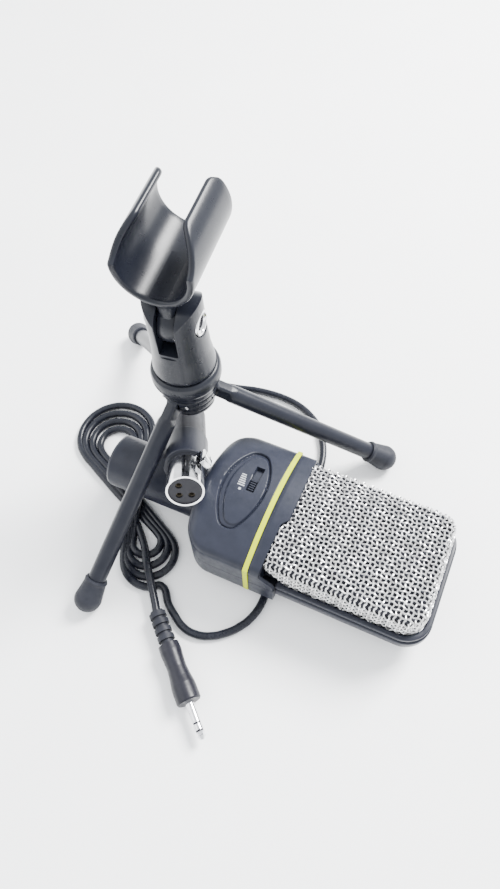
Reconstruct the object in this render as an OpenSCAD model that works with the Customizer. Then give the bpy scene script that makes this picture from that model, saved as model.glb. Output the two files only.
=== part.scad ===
// Side-address condenser microphone lying beside its table stand, with its lead.
// Millimetres, +Z up, table at z = 0. The origin is the bottom centre of the box round the
// microphone and its stand; +X runs along the microphone from its handle to its head.

/* [Microphone] */
// Width of the black body
body_w = 57.6; // [54:0.2:60]
// Width of the head frame
head_w = 55.4; // [50:0.2:56]
// Height of the front crown above the back
body_t = 35.5; // [32:0.5:38]
// Length of the black body
body_len = 43; // [40:1:46]
// Length of the head frame
head_len = 61.4; // [58:0.2:64]
// Diameter of the handle
handle_d = 23.4; // [22:0.1:23.6]
// Length of the handle outside the body
handle_len = 44; // [38:1:46]
// Slope of the microphone, which lies on its lead
mic_tilt = 1.9; // [1.8:0.1:2.2]

/* [Stand] */
// Diameter of a leg tube
leg_d = 7.5; // [6.5:0.1:7.6]
// Slope of a leg below the horizontal
leg_slope = 35.5; // [34:0.5:38]
// Height of the leg pivots above the table
leg_pivot_z = 59; // [58:0.5:61]
// Largest diameter of the hub cap
hub_d = 27.8; // [26:0.2:28]

/* [Clip] */
// Inner diameter of the clip's cradle
cradle_d = 24.1; // [23.8:0.1:25]
// Wall of the cradle
cradle_wall = 2.6; // [2:0.1:3]
// Length of the cradle
cradle_len = 38; // [36:1:46]
// Slope of the cradle above the horizontal
clip_tilt = 2; // [0:1:20]
// Height of the clip pivot above the table
clip_pivot_z = 98.9; // [96:0.1:101]

/* [Lead] */
// Diameter of the lead
cord_d = 3.4; // [3.2:0.1:3.4]
// Diameter of the jack plug's contacts
jack_d = 3.5; // [3.5]

/* [Hidden] */
$fn = 64;

// Colours
black = [0.09, 0.09, 0.10];
dark = [0.05, 0.05, 0.055];
steel = [0.78, 0.78, 0.80];
chrome = [0.88, 0.88, 0.90];
brass = [0.80, 0.64, 0.30];
lime = [0.80, 0.95, 0.10];
board_green = [0.05, 0.30, 0.16];

// Microphone, in its own frame: x = 0 at the end of the head, handle towards -X, back down
mic_end = 119.5;                       // head end, from the stand's axis
mic_y = -24.6;                         // centre line, from the stand's axis
grille_rest_x = -12;                   // the edge of the back grille that meets the table
wall = 2;
end_wall = 5;
ring_low = 7;
seam_z = 16.5;
rear_z = 2;                            // back of the body shells; the grille stands lower
rear_crown = 2.5;
front_crown = 8;
body_x1 = -head_len - 0.1;
body_x0 = body_x1 - body_len;
end_bulge = 4;
slack = 0.4;                           // keeps a rounded view's flat sides clear of a crown
ring_x = -73.5;
ring_w = 2;
frame_wall = 2.2;
grille_t = 1.2;
grille_half = head_w / 2 - frame_wall - 0.3;
handle_z = 15.5;
handle_bore = 16.3;
handle_x0 = body_x0 - handle_len;
panel_x = -86.5;                       // centre of the lens-shaped switch panel
panel_y = 0.5;
slot_x = -84.3;                        // centre of the slide switch's slot
slot_y = 6;
slot_len = 12;
slot_w = 3.2;
screw_spots = [for (x = [-96, -68], y = [-20, 20]) [x, y]];
board_z = 13;

// Stand
leg_az = [260.8, 20.8, 140.8];         // front, right, back
leg_pivot_r = 9;
leg_len = 90;                          // pivot to the end of the tube
foot_r = 5.8;
foot_s = (leg_pivot_z - foot_r) / sin(leg_slope);
foot_ring_r = leg_pivot_r + foot_s * cos(leg_slope);
tongue_t = 4.8;
pin_r = 1.25;
hub_z0 = 52;
cap_z0 = 66;
cap_z1 = 73.8;
stud_r = 4.76;
base_z0 = 74.2;
ear_r = 10.5;
ear_gap = 7.6;
clip_tongue_t = 7;
bolt_r = 2.45;
cradle_h = 30;                         // clip pivot to the cradle's axis
cradle_y0 = -9.5;
clip_turn = 6;                         // turn of the clip about the upright axis, at rest
lip_drop = 13;                         // how far the walls come down at the near end
lip_angle = 34;                        // half the opening of the cradle's section

// The stand's upright axis, placed so that the origin is the middle of the whole object
stand_x = -(mic_end + seam_z * sin(mic_tilt) + foot_ring_r * cos(leg_az[2]) - foot_r) / 2;
stand_y = -foot_ring_r * (sin(leg_az[0]) + sin(leg_az[2])) / 2;

// Female XLR connector: centre of its face, then slope and turn of its axis towards the lead
xlr_face = [16.65, -39.4, 48.35];
xlr_slope = 21.2;
xlr_turn = 118.9;
xlr_r = 7.5;
xlr_body_r = 9;
latch_roll = -30;
contact_roll = -130;
contact_r = 3.4;                       // radius of the circle of three contacts

// Jack plug: start of its contacts, and turn of its axis
plug_at = [44.3, -102.2, 4.9];
plug_turn = -42.4;

// Route of the lead from the XLR boot to the hank, from the stand's axis
feed_route = [
    [-14, 16.1, 23.8], [-17.4, 22, 20.8], [-20, 28, 16.2], [-20.6, 33.6, 10.8],
    [-18.2, 38, 6.2], [-13.8, 40.4, 3.2], [-8, 41.8, 1.9], [-1.4, 43.2, 1.7],
    [6, 45, 1.7], [14, 46, 1.7], [22, 46, 1.7], [30, 44.6, 1.7], [37.2, 41.4, 1.7],
    [43.4, 36.6, 1.7], [47.9, 30.2, 1.7], [51, 23.5, 1.7], [52.6, 16.6, 1.7],
    [53.2, 9, 1.7], [53, 1, 1.7], [52.4, -7, 1.7], [51.8, -15, 1.7], [51.4, -23, 1.7],
    [51.4, -31, 1.7], [52, -39, 1.7], [53, -47, 1.7], [53.6, -54, 1.7], [52.4, -61, 1.7],
    [49.4, -67, 1.7], [45, -71.9, 1.7], [40, -75.4, 1.7], [34, -77.2, 1.7],
    [28, -76.6, 1.7], [22.4, -73.6, 1.7], [18, -69.6, 1.7], [16.4, -68, 1.7]
];
// Route of the lead from the hank to the plug's boot
tail_route = [[12.2, -71.6, 5.1], [13.9, -73.7, 5], [15.5, -75.9, 4.9]];
// Hank: round ends of its two loops and its waist, as [x, y, radius]
hank_upper = [-45, -5, 20.5];
hank_waist = [-20, -32, 12];
hank_lower = [-9, -44, 16];
hank_end = [3.5, -58, 16];
hank_hole = [[-47, -8], [-36, -17]];
hank_hole_r = 5.5;
hank_h = 7.2;

// ---------- shared shapes ----------

module layout() { translate([stand_x, stand_y, 0]) children(); }

module at_mic() {
    layout() translate([mic_end, mic_y, grille_rest_x * sin(mic_tilt)])
        rotate([0, mic_tilt, 0]) children();
}

module at_leg(i) {
    layout() rotate([0, 0, leg_az[i]]) translate([leg_pivot_r, 0, leg_pivot_z])
        rotate([0, leg_slope, 0]) children();
}

module at_swivel() { layout() rotate([0, 0, clip_turn]) children(); }

module at_clip() {
    at_swivel() translate([0, 0, clip_pivot_z]) rotate([clip_tilt, 0, 0]) children();
}

module at_xlr() {
    layout() translate(xlr_face) rotate([0, xlr_slope, xlr_turn]) children();
}

module at_plug() { layout() translate(plug_at) rotate([0, 0, plug_turn]) children(); }

// Cylinder along +X from x0 to x1
module rod(x0, x1, r, r2 = undef) {
    translate([x0, 0, 0]) rotate([0, 90, 0])
        cylinder(h = x1 - x0, r1 = r, r2 = is_undef(r2) ? r : r2);
}

// Outline [along x, radius] turned about the X axis
module turned(points) { rotate([0, 90, 0]) rotate_extrude() polygon([for (p = points) [p[1], p[0]]]); }

module round_rect(x0, y0, x1, y1, r) {
    translate([x0 + r, y0]) square([x1 - x0 - 2 * r, y1 - y0]);
    translate([x0, y0 + r]) square([x1 - x0, y1 - y0 - 2 * r]);
    for (x = [x0 + r, x1 - r], y = [y0 + r, y1 - r]) translate([x, y]) circle(r);
}

// Lens made by two arcs, long axis along Y
module lens(length, width) {
    r = (length * length + width * width) / (4 * width);
    intersection() {
        translate([r - width / 2, 0]) circle(r, $fn = 128);
        translate([width / 2 - r, 0]) circle(r, $fn = 128);
    }
}

// Solid where a plan, a cross-section and a side view all hold
module three_views() {
    intersection() {
        translate([0, 0, -5]) linear_extrude(50) children(0);
        translate([-120, 0, 0]) rotate([90, 0, 90]) linear_extrude(140) children(1);
        translate([0, 50, 0]) rotate([90, 0, 0]) linear_extrude(100) children(2);
    }
}

function crown_r(half, rise) = (half * half + rise * rise) / (2 * rise);

// Cross-section of the body, drawn in by an inset
module body_section(inset) {
    half = body_w / 2 - inset;
    r_front = crown_r(body_w / 2, front_crown);
    r_rear = crown_r(body_w / 2, rear_crown);
    intersection() {
        translate([-half, -5]) square([2 * half, body_t + 10]);
        translate([0, body_t - r_front]) circle(r_front - inset, $fn = 128);
        translate([0, rear_z + r_rear]) circle(r_rear - inset, $fn = 128);
    }
}

// That section run along the whole body
module section_bar(inset) {
    translate([-120, 0, 0]) rotate([90, 0, 90]) linear_extrude(140) body_section(inset);
}

// The body's outer form
module body_solid() {
    r_end = crown_r(body_w / 2, end_bulge);
    three_views() {
        intersection() {
            round_rect(body_x0 - slack, -body_w / 2, body_x1 + 30, body_w / 2, 11);
            translate([body_x0 + r_end, 0]) circle(r_end, $fn = 128);
            translate([body_x0 - 5, -40]) square([body_len + 5, 80]);
        }
        body_section(0);
        intersection() {
            round_rect(body_x0 - slack, -10, body_x1 + 30, body_t + slack, 8);
            round_rect(body_x0 - slack, rear_z - slack, body_x1 + 30, body_t + 20, 4);
        }
    }
}

// The room inside the body
module body_cavity() {
    half = body_w / 2 - wall - 0.2;
    intersection() {
        translate([0, 0, -5]) linear_extrude(50)
            round_rect(body_x0 + end_wall, -half, body_x1 - wall, half, 9);
        section_bar(wall);
    }
}

// The head's outer form, front and back, drawn in by an inset
module grille_solid(inset) {
    half = grille_half - inset;
    three_views() {
        intersection() {
            round_rect(-head_len - 30, -half, -frame_wall - 0.8 - inset, half, 9);
            translate([-head_len + inset, -half]) square([head_len, 2 * half]);
        }
        intersection() {
            round_rect(-half, -20, half, body_t - inset + slack, 8);
            round_rect(-half, inset, half, body_t + 20, 6);
            translate([0, body_t - 80]) circle(80 - inset, $fn = 128);
        }
        intersection() {
            round_rect(-head_len - 30, -20, -frame_wall - 0.8 - inset, body_t - inset, 9);
            round_rect(-head_len - 30, inset, -frame_wall - 0.8 - inset, body_t + 20, 7);
            polygon([[-70, 0], [-70, body_t + 0.6 - inset], [0, body_t - 5 - inset], [0, 0]]);
        }
    }
}

module above_seam() { translate([-130, -40, seam_z + 0.1]) cube([140, 80, 40]); }
module below_seam() { translate([-130, -40, -10]) cube([140, 80, seam_z + 10]); }

// An open hoop over the front and both sides, its two ends low on the rear shell
module ring_band(gap) {
    translate([ring_x - ring_w / 2 - gap, 0, 0]) rotate([90, 0, 90])
        linear_extrude(ring_w + 2 * gap) difference() {
            intersection() {
                body_section(-0.3 - gap);
                translate([-50, ring_low - gap]) square([100, 80]);
            }
            body_section(1 + gap);
        }
}

// ---------- microphone ----------

module front_shell() color(black) at_mic() difference() {
    union() {
        intersection() {
            difference() {
                body_solid();
                body_cavity();
            }
            above_seam();
        }
        intersection() {
            for (p = screw_spots) translate([p[0], p[1], 10]) cylinder(h = 30, r = 3.2);
            section_bar(1);
        }
    }
    for (p = screw_spots) translate([p[0], p[1], 0]) cylinder(h = 22, r = 1.3);
    translate([0, 0, handle_z]) rod(body_x0 - 5, body_x0 + 8, handle_d / 2 + 0.05);
    difference() {
        translate([panel_x, panel_y, 20]) linear_extrude(20) lens(40, 20);
        section_bar(1);
    }
    translate([slot_x - slot_w / 2, slot_y - slot_len / 2, 20]) cube([slot_w, slot_len, 20]);
    ring_band(0.05);
}

module rear_shell() color(black) at_mic() difference() {
    union() {
        intersection() {
            difference() {
                body_solid();
                body_cavity();
            }
            below_seam();
        }
        for (p = screw_spots) translate([p[0], p[1], 5]) cylinder(h = 4.8, r = 3.2);
    }
    for (p = screw_spots) translate([p[0], p[1], 0]) {
        cylinder(h = 20, r = 1.35);
        cylinder(h = 5, r = 2.5);
    }
    translate([0, 0, handle_z]) rod(body_x0 - 5, body_x0 + 8, handle_d / 2 + 0.05);
    ring_band(0.05);
}

module accent_ring() color(lime) at_mic() ring_band(0);

module switch_plate() color(black) at_mic() difference() {
    intersection() {
        translate([panel_x + 1, panel_y, 20]) linear_extrude(20) lens(36, 16.5);
        difference() {
            section_bar(0.1);
            section_bar(0.95);
        }
    }
    translate([slot_x - slot_w / 2, slot_y - slot_len / 2, 20]) cube([slot_w, slot_len, 20]);
}

knob_len = 5.4;
knob_w = 2.6;
knob_top = body_t - 0.2;
knob_y = slot_y - slot_len / 2 + 0.3 + knob_len / 2;
module switch_knob() color(dark) at_mic() translate([slot_x, knob_y, 0]) {
    translate([-knob_w / 2, -knob_len / 2, 30.5]) cube([knob_w, knob_len, knob_top - 31.1]);
    for (i = [-2 : 2]) translate([-knob_w / 2, i - 0.3, knob_top - 0.8])
        cube([knob_w, 0.6, 0.8]);
    translate([-0.8, -1.5, 27.5]) cube([1.6, 3, 3.5]);
}

module switch_body() color(steel) at_mic() translate([slot_x, slot_y, 24]) difference() {
    translate([-4, -9, 0]) cube([8, 18, 6]);
    translate([-1.2, -6, 3]) cube([2.4, 12, 4]);
}

module frame_plan(inset, hole) {
    difference() {
        intersection() {
            round_rect(-head_len - 30, -head_w / 2 + inset, -inset, head_w / 2 - inset, 11);
            translate([-head_len, -40]) square([head_len, 80]);
        }
        intersection() {
            round_rect(-head_len - 30, -hole, -frame_wall - 0.5, hole, 9.3);
            translate([-head_len + 2.4, -40]) square([head_len, 80]);
        }
    }
}

module head_frame_front() color(black) at_mic() translate([0, 0, seam_z + 0.1])
    linear_extrude(2.6) frame_plan(0.5, grille_half + 0.05);

module head_frame_rear() color(black) at_mic() translate([0, 0, seam_z - 4.7])
    linear_extrude(4.7) frame_plan(0, grille_half + 0.05);

module grille_skin(outer, inner) intersection() {
    difference() {
        grille_solid(outer);
        grille_solid(inner);
    }
    translate([-head_len + 2.5, -40, -5]) cube([80, 80, 60]);
}

module front_grille() color(steel) at_mic() intersection() {
    grille_skin(0, grille_t);
    above_seam();
}

module rear_grille() color(steel) at_mic() intersection() {
    grille_skin(0, grille_t);
    below_seam();
}

module foam_front() color(dark) at_mic() intersection() {
    grille_skin(grille_t + 0.1, grille_t + 2.3);
    above_seam();
}

module foam_rear() color(dark) at_mic() intersection() {
    grille_skin(grille_t + 0.1, grille_t + 2.3);
    below_seam();
}

module capsule() color(brass) at_mic() translate([-28, 0, 11]) {
    cylinder(h = 9, r = 12.5);
    translate([0, 0, 9]) cylinder(h = 1, r = 11);
}

module capsule_holder() color(dark) at_mic() {
    translate([-28, 0, 12]) difference() {
        cylinder(h = 5, r = 15);
        translate([0, 0, -1]) cylinder(h = 7, r = 12.55);
    }
    difference() {
        translate([-54, -8, 12]) cube([16, 16, 4]);
        translate([-28, 0, 0]) cylinder(h = 30, r = 14.9);
    }
}

module circuit_board() color(board_green) at_mic()
    translate([-97, -15, board_z]) cube([31, 30, 1.6]);

module board_parts() color(steel) at_mic() translate([0, 0, board_z + 1.65]) {
    for (y = [-9, 0, 9]) translate([-91, y, 0]) cylinder(h = 8, r = 2.5);
    translate([-84, -4, 0]) cube([6, 8, 2]);
    translate([-72, 2, 0]) cube([4, 9, 5]);
}

module housing_screws() color(steel) at_mic() for (p = screw_spots) translate([p[0], p[1], 0]) {
    translate([0, 0, 4.9]) cylinder(h = 13, r = 1.25);
    translate([0, 0, 3.6]) cylinder(h = 1.3, r = 2.4);
}

module handle() color(black) at_mic() translate([0, 0, handle_z]) {
    difference() {
        union() {
            turned([
                [handle_x0, 0], [handle_x0, handle_d / 2 - 1.5], [handle_x0 + 0.5, handle_d / 2 - 0.5],
                [handle_x0 + 1.5, handle_d / 2], [body_x0 + 4, handle_d / 2], [body_x0 + 4, 0]
            ]);
            rod(body_x0 + 3, body_x0 + 5, 10);
        }
        rod(handle_x0 - 1, body_x0 + 10, handle_bore / 2);
    }
}

function pin_spots(roll) = [for (a = [0, 90, 180]) contact_r * [cos(a + roll), sin(a + roll)]];

module xlr_male_insert() color(dark) at_mic() translate([0, 0, handle_z]) difference() {
    rod(handle_x0 + 18, handle_x0 + 26, handle_bore / 2 - 0.02);
    for (p = pin_spots(0)) translate([0, p[0], p[1]]) rod(handle_x0 + 10, handle_x0 + 30, 1.2);
}

module xlr_male_pins() color(brass) at_mic() translate([0, 0, handle_z])
    for (p = pin_spots(0)) translate([0, p[0], p[1]]) {
        rod(handle_x0 + 5, handle_x0 + 29, 1.15);
        rod(handle_x0 + 4, handle_x0 + 5, 0.6, 1.15);
    }

// ---------- stand ----------

module leg_hub() color(black) layout() difference() {
    rotate_extrude() polygon([
        [0, hub_z0], [10, hub_z0], [10.3, 53.6], [9.6, 54.2], [10.6, 54.8], [11, 57.4],
        [10.3, 58], [11.3, 58.6], [11.7, 61.2], [11, 61.8], [12, 62.4], [12.6, cap_z0],
        [0, cap_z0]
    ]);
    for (a = leg_az) rotate([0, 0, a]) {
        translate([5, -tongue_t / 2 - 0.3, hub_z0 - 2]) cube([15, tongue_t + 0.6, 13.4]);
        translate([leg_pivot_r, 0, leg_pivot_z]) rotate([90, 0, 0])
            cylinder(h = 12.4, r = pin_r, center = true);
    }
}

module hub_cap() color(black) layout() difference() {
    rotate_extrude() polygon([
        [0, cap_z0], [12.8, cap_z0], [hub_d / 2 - 0.3, 67.2], [hub_d / 2, 68.4],
        [hub_d / 2, 71.4], [hub_d / 2 - 0.4, 72.9], [hub_d / 2 - 1.4, cap_z1], [0, cap_z1]
    ]);
    translate([0, 0, cap_z0 - 1]) cylinder(h = 20, r = stud_r);
}

module hub_stud() color(steel) layout() translate([0, 0, cap_z0])
    cylinder(h = 17.5, r = stud_r - 0.01);

module leg_pins() color(steel) layout() for (a = leg_az) rotate([0, 0, a])
    translate([leg_pivot_r, 0, leg_pivot_z]) rotate([90, 0, 0])
        cylinder(h = 12, r = pin_r - 0.01, center = true);

module leg(i) color(black) at_leg(i) difference() {
    rod(10, leg_len, leg_d / 2);
    rod(9, leg_len + 1, leg_d / 2 - 0.8);
}

module leg_end(i) color(black) at_leg(i) difference() {
    union() {
        rotate([90, 0, 0]) cylinder(h = tongue_t, r = 3.6, center = true);
        translate([0, -tongue_t / 2, -3.2]) cube([8.2, tongue_t, 6.4]);
        rod(8, 10, leg_d / 2);
        rod(9.9, 20, leg_d / 2 - 0.85);
    }
    rotate([90, 0, 0]) cylinder(h = 10, r = pin_r + 0.05, center = true);
}

module foot(i) color(dark) at_leg(i) difference() {
    union() {
        turned([[82, 0], [82, 4.5], [82.8, 4.9], [84, 4.7], [foot_s, foot_r], [foot_s, 0]]);
        translate([foot_s, 0, 0]) sphere(foot_r);
    }
    rod(80, leg_len + 0.02, leg_d / 2 + 0.01);
}

module leg_front() leg(0);
module leg_right() leg(1);
module leg_back() leg(2);
module leg_end_front() leg_end(0);
module leg_end_right() leg_end(1);
module leg_end_back() leg_end(2);
module foot_front() foot(0);
module foot_right() foot(1);
module foot_back() foot(2);

// ---------- clip ----------

module clip_base() color(black) at_swivel() difference() {
    intersection() {
        rotate_extrude() polygon([
            [0, base_z0], [12, base_z0], [12.3, 75.4], [12, 78], [11.2, 84], [10.8, 92],
            [10.6, 112], [0, 112]
        ]);
        union() {
            translate([-15, -15, 70]) cube([30, 30, 18]);
            translate([-15, -ear_r, 80]) cube([30, 2 * ear_r, clip_pivot_z - 80]);
            translate([0, 0, clip_pivot_z]) rotate([0, 90, 0])
                cylinder(h = 30, r = ear_r, center = true);
        }
    }
    translate([-ear_gap / 2, -15, clip_pivot_z - 9.4]) cube([ear_gap, 30, 40]);
    translate([0, 0, clip_pivot_z]) {
        rod(-20, 20, bolt_r + 0.01);
        rod(8.2, 20, 5.1);
        rod(-20, -8.2, 5.1);
    }
    translate([0, 0, base_z0 - 1]) cylinder(h = 11.8, r = 6.5);
}

module thread_insert() color(brass) at_swivel() difference() {
    translate([0, 0, base_z0 + 0.2]) cylinder(h = 10.5, r = 6.45);
    translate([0, 0, 60]) cylinder(h = 40, r = stud_r + 0.05);
}

module clip_bolt() color(steel) at_swivel() translate([0, 0, clip_pivot_z]) {
    rod(-9, 10.4, bolt_r);
    rod(-10.6, -8.25, 4.4);
}

module clip_nut() color(chrome) at_swivel() translate([0, 0, clip_pivot_z]) difference() {
    rod(8.25, 10.4, 4.9);
    rod(8, 12, bolt_r + 0.01);
}

module clip_tongue_side() {
    circle(9);
    translate([-6.5, 0]) square([13, cradle_h - cradle_d / 2 - 1]);
}

module mic_clip() color(black) at_clip() difference() {
    union() {
        rotate([90, 0, 90]) translate([0, 0, -clip_tongue_t / 2])
            linear_extrude(clip_tongue_t) clip_tongue_side();
        hull() {
            translate([-3.5, -6.5, 11]) cube([7, 13, 1]);
            translate([-8, -8.5, cradle_h - cradle_d / 2]) cube([16, 22, 1]);
        }
        translate([0, cradle_y0, cradle_h]) rotate([-90, 0, 0])
            cylinder(h = cradle_len, r = cradle_d / 2 + cradle_wall);
    }
    translate([0, -50, cradle_h]) rotate([-90, 0, 0]) cylinder(h = 120, r = cradle_d / 2);
    rod(-10, 10, bolt_r + 0.05);
    // Mouth between the two lips
    translate([0, 60, cradle_h]) rotate([90, 0, 0]) linear_extrude(120)
        polygon([[0, 0], [30 * sin(lip_angle), 30 * cos(lip_angle)], [0, 60],
            [-30 * sin(lip_angle), 30 * cos(lip_angle)]]);
    // Walls cut down in an S-curve at the near end, and round at the far end
    translate([30, 0, 0]) rotate([90, 0, -90]) linear_extrude(60) near_cut();
    translate([-30, 0, 0]) rotate([90, 0, 90]) linear_extrude(60) far_cut();
}

// Side view of what is cut away at the near end, drawn towards -Y: an S-curve, then level
module near_cut() {
    low = cradle_h + 1;
    polygon(concat(
        [for (t = [0 : 0.125 : 1]) [14 * t - 10, low + lip_drop * (1 + cos(180 * t)) / 2]],
        [[20, low], [20, 60], [-10, 60]]
    ));
}

module far_cut() {
    y1 = cradle_y0 + cradle_len;
    difference() {
        translate([y1 - 5, cradle_h + 4]) square([20, 30]);
        translate([y1 - 5, cradle_h + 4]) circle(5);
        translate([y1 - 6, cradle_h + 4]) square([1, 30]);
    }
}

// ---------- female XLR connector on the lead ----------

module xlr_barrel() color(chrome) at_xlr() difference() {
    rod(0, 26, xlr_r);
    rod(-1, 27, xlr_r - 0.8);
}

module xlr_insert() color(dark) at_xlr() difference() {
    rod(0.6, 24, xlr_r - 0.85);
    for (p = pin_spots(contact_roll)) translate([0, p[0], p[1]]) rod(0, 18, 1.35);
}

module xlr_contacts() color(brass) at_xlr() for (p = pin_spots(contact_roll)) translate([0, p[0], p[1]])
    difference() {
        rod(1.4, 17, 1.3);
        rod(1, 14, 0.95);
    }

module latch_pocket(gap) {
    rotate([latch_roll, 0, 0]) translate([14.5, -13, -2.2 - gap])
        cube([1.7 + gap, 5.45, 4.4 + 2 * gap]);
}

module xlr_latch() color(chrome) at_xlr() rotate([latch_roll, 0, 0]) {
    translate([9, -10.9, -2.2]) cube([7.2, 2.3, 4.4]);
    translate([10, -11.4, -2.2]) cube([3, 0.6, 4.4]);
}

module xlr_shell() color(black) at_xlr() difference() {
    turned([
        [15, 0], [15, xlr_body_r - 0.3], [15.4, xlr_body_r], [30.4, xlr_body_r],
        [31, xlr_body_r - 0.4], [31, 0]
    ]);
    rod(10, 40, xlr_r + 0.02);
    latch_pocket(0.3);
}

module xlr_sleeve() color(black) at_xlr() difference() {
    rod(31.02, 50, 8.3, 7.9);
    rod(30, 49, 6);
    rod(48, 51, 4);
}

module xlr_clamp() color(dark) at_xlr() difference() {
    rod(33, 47, 5.95);
    rod(32, 48, cord_d / 2);
}

module xlr_boot() color(dark) at_xlr() {
    rod(47.05, 50.2, 3.95);
    turned([[50.02, 0], [50.02, 7], [52, 7], [56, 5], [62, 3.6], [68, 2.9], [68, 0]]);
}

// ---------- lead ----------

// Tube of eight sides along a route, with a ring at each point
function unit(v) = v / norm(v);
function heading(route, i) = unit(route[min(i + 1, len(route) - 1)] - route[max(i - 1, 0)]);
function tube_ring(route, i, r, sides) =
    let (t = heading(route, i), a = unit(cross(t, [0, 0, 1])), b = cross(a, t))
    [for (k = [0 : sides - 1])
        let (w = 360 * (k + 0.5) / sides) route[i] + r * cos(w) * a + r * sin(w) * b];

module tube(route, r) {
    sides = 8;
    last = len(route) - 1;
    polyhedron(
        points = [for (i = [0 : last]) each tube_ring(route, i, r, sides)],
        faces = concat(
            [[for (k = [0 : sides - 1]) k]],
            [for (i = [0 : last - 1], k = [0 : sides - 1])
                [i * sides + k, (i + 1) * sides + k, (i + 1) * sides + (k + 1) % sides,
                    i * sides + (k + 1) % sides]],
            [[for (k = [sides - 1 : -1 : 0]) last * sides + k]]
        )
    );
}

module cable_feed() color(black) layout() tube(feed_route, cord_d / 2);

module cable_tail() color(black) layout() tube(tail_route, cord_d / 2);

module disc_at(c) { translate([c[0], c[1]]) circle(c[2], $fn = 48); }

module cable_hank() color(black) layout() linear_extrude(hank_h) difference() {
    union() {
        hull() { disc_at(hank_upper); disc_at(hank_waist); }
        hull() { disc_at(hank_waist); disc_at(hank_lower); disc_at(hank_end); }
    }
    hull() for (p = hank_hole) disc_at([p[0], p[1], hank_hole_r]);
}

module plug_boot() color(dark) at_plug() {
    rod(-39, -24.02, 2.6);
    for (x = [-38 : 3.4 : -25]) rod(x, x + 2, 3.5);
}

module plug_body() color(dark) at_plug() turned([
    [-24, 0], [-24, 4.2], [-21, 4.4], [-18, 4.1], [-14, 3.9], [-10, 4.3], [-7, 4.8],
    [-5, 4.9], [-0.6, 4.9], [0, 4.5], [0, 0]
]);

module plug_sleeve() color(chrome) at_plug() rod(0.02, 8, jack_d / 2);

module plug_ring() color(chrome) at_plug() rod(8.7, 10.9, jack_d / 2);

module plug_tip() color(chrome) at_plug() {
    rod(11.6, 12.6, jack_d / 2, 1.25);
    rod(12.6, 13.2, 1.25, 1.7);
    rod(13.2, 14.5, 1.7, 0.7);
}

module plug_insulators() color(dark) at_plug() {
    rod(8.02, 8.68, jack_d / 2 - 0.3);
    rod(10.92, 11.58, jack_d / 2 - 0.3);
}

front_shell();
rear_shell();
accent_ring();
switch_plate();
switch_knob();
switch_body();
head_frame_front();
head_frame_rear();
front_grille();
rear_grille();
foam_front();
foam_rear();
capsule();
capsule_holder();
circuit_board();
board_parts();
housing_screws();
handle();
xlr_male_insert();
xlr_male_pins();
leg_hub();
hub_cap();
hub_stud();
leg_pins();
leg_front();
leg_right();
leg_back();
leg_end_front();
leg_end_right();
leg_end_back();
foot_front();
foot_right();
foot_back();
clip_base();
thread_insert();
clip_bolt();
clip_nut();
mic_clip();
xlr_barrel();
xlr_insert();
xlr_contacts();
xlr_latch();
xlr_shell();
xlr_sleeve();
xlr_clamp();
xlr_boot();
cable_feed();
cable_hank();
cable_tail();
plug_boot();
plug_body();
plug_sleeve();
plug_ring();
plug_tip();
plug_insulators();
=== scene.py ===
"""Side-address condenser microphone beside its table stand, with its lead and jack plug.

Metres, in the row's frame. Sizes below are in millimetres, in the part's own small frames:
the stand's frame stands on the table under the stand's upright axis, and the microphone,
clip and legs each have a frame of their own.
"""

import math

import bmesh
import bpy
from mathutils import Matrix, Vector, noise
from mathutils.bvhtree import BVHTree


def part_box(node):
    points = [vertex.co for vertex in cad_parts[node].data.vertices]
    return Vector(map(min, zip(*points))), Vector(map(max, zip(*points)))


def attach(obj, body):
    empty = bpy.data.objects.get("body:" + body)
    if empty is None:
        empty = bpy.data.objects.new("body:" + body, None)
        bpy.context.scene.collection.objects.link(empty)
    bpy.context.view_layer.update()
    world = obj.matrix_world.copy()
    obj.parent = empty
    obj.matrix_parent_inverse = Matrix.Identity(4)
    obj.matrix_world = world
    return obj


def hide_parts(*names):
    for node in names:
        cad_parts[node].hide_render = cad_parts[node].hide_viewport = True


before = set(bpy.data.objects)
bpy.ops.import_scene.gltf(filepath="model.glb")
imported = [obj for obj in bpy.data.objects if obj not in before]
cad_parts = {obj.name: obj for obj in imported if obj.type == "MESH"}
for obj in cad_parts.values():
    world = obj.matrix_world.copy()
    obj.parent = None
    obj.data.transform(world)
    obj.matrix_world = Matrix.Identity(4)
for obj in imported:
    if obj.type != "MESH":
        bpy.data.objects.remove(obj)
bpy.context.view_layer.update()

MM = 0.001


# ---------- frames of the sub-assemblies ----------

def box_middle(node):
    low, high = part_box(node)
    return (Vector(low) + Vector(high)) / 2


def turn(degrees, axis):
    return Matrix.Rotation(math.radians(degrees), 4, axis)


def shift(x, y, z):
    return Matrix.Translation((x * MM, y * MM, z * MM))


stand_middle = box_middle("hub_cap")
STAND = Matrix.Translation((stand_middle.x, stand_middle.y, 0))

MIC_TILT = 1.9
MIC = STAND @ shift(119.5, -24.6, -12 * math.sin(math.radians(MIC_TILT))) @ turn(MIC_TILT, "Y")

LEG_NAMES = ("front", "right", "back")
LEG_TURNS = (260.8, 20.8, 140.8)
LEG_SLOPE = 35.5
LEG_TUBE_R = 3.75
SWIVEL = STAND @ turn(6, "Z")
CLIP = SWIVEL @ shift(0, 0, 98.9) @ turn(2, "X")


def leg_frame(index):
    return STAND @ turn(LEG_TURNS[index], "Z") @ shift(9, 0, 59) @ turn(LEG_SLOPE, "Y")


# ---------- camera ----------

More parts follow.
